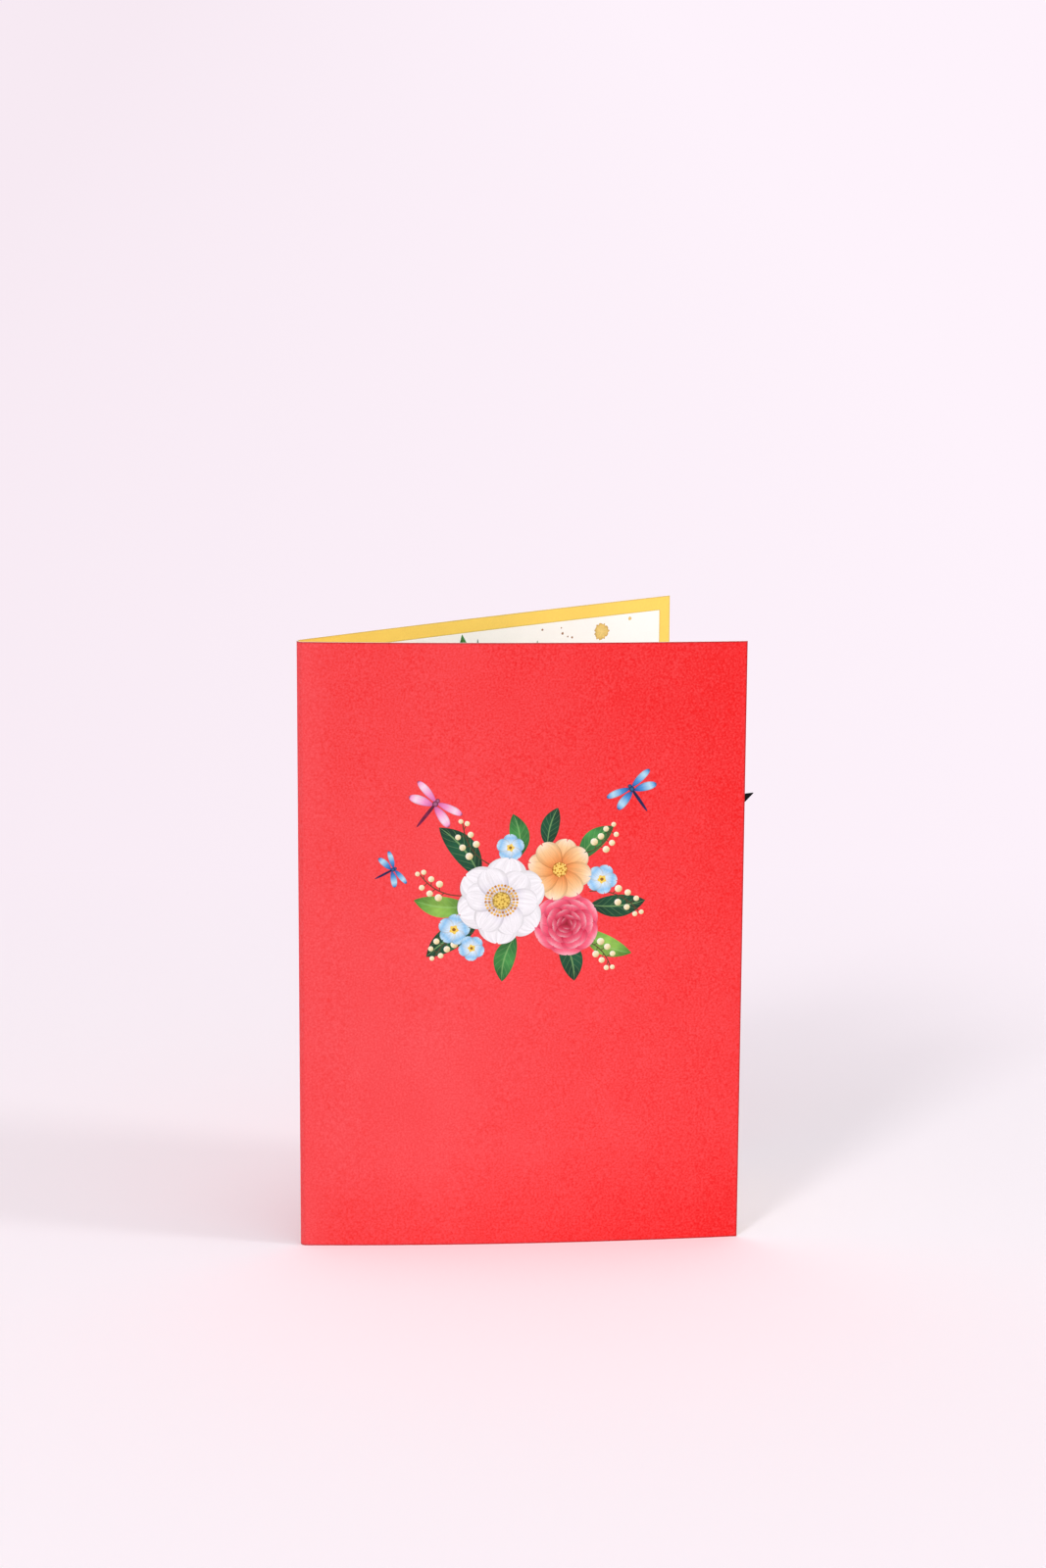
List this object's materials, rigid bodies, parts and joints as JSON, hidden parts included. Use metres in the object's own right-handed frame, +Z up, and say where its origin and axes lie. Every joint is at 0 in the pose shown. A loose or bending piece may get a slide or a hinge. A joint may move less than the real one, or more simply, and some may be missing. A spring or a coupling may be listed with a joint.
{
  "type": "greeting card",
  "caption": "Folded paper greeting card standing part open on its foot, with a glued pop-up leaf spray between its leaves.",
  "frame": {"origin": "on the foot plane, at the middle of the whole part's box", "axes": "+X from the fold to the fore edge along the front leaf's top, -Y out of the front leaf's printed face, +Z up"},
  "size_m": [0.129, 0.0688, 0.1778],
  "materials": {
    "card_stock": "matt printed card stock, red outside",
    "popup_paper": "matt printed paper, leaf green"
  },
  "bodies": {
    "root": {"card": "card_stock", "popup_spray": "popup_paper"}
  },
  "joints": []
}
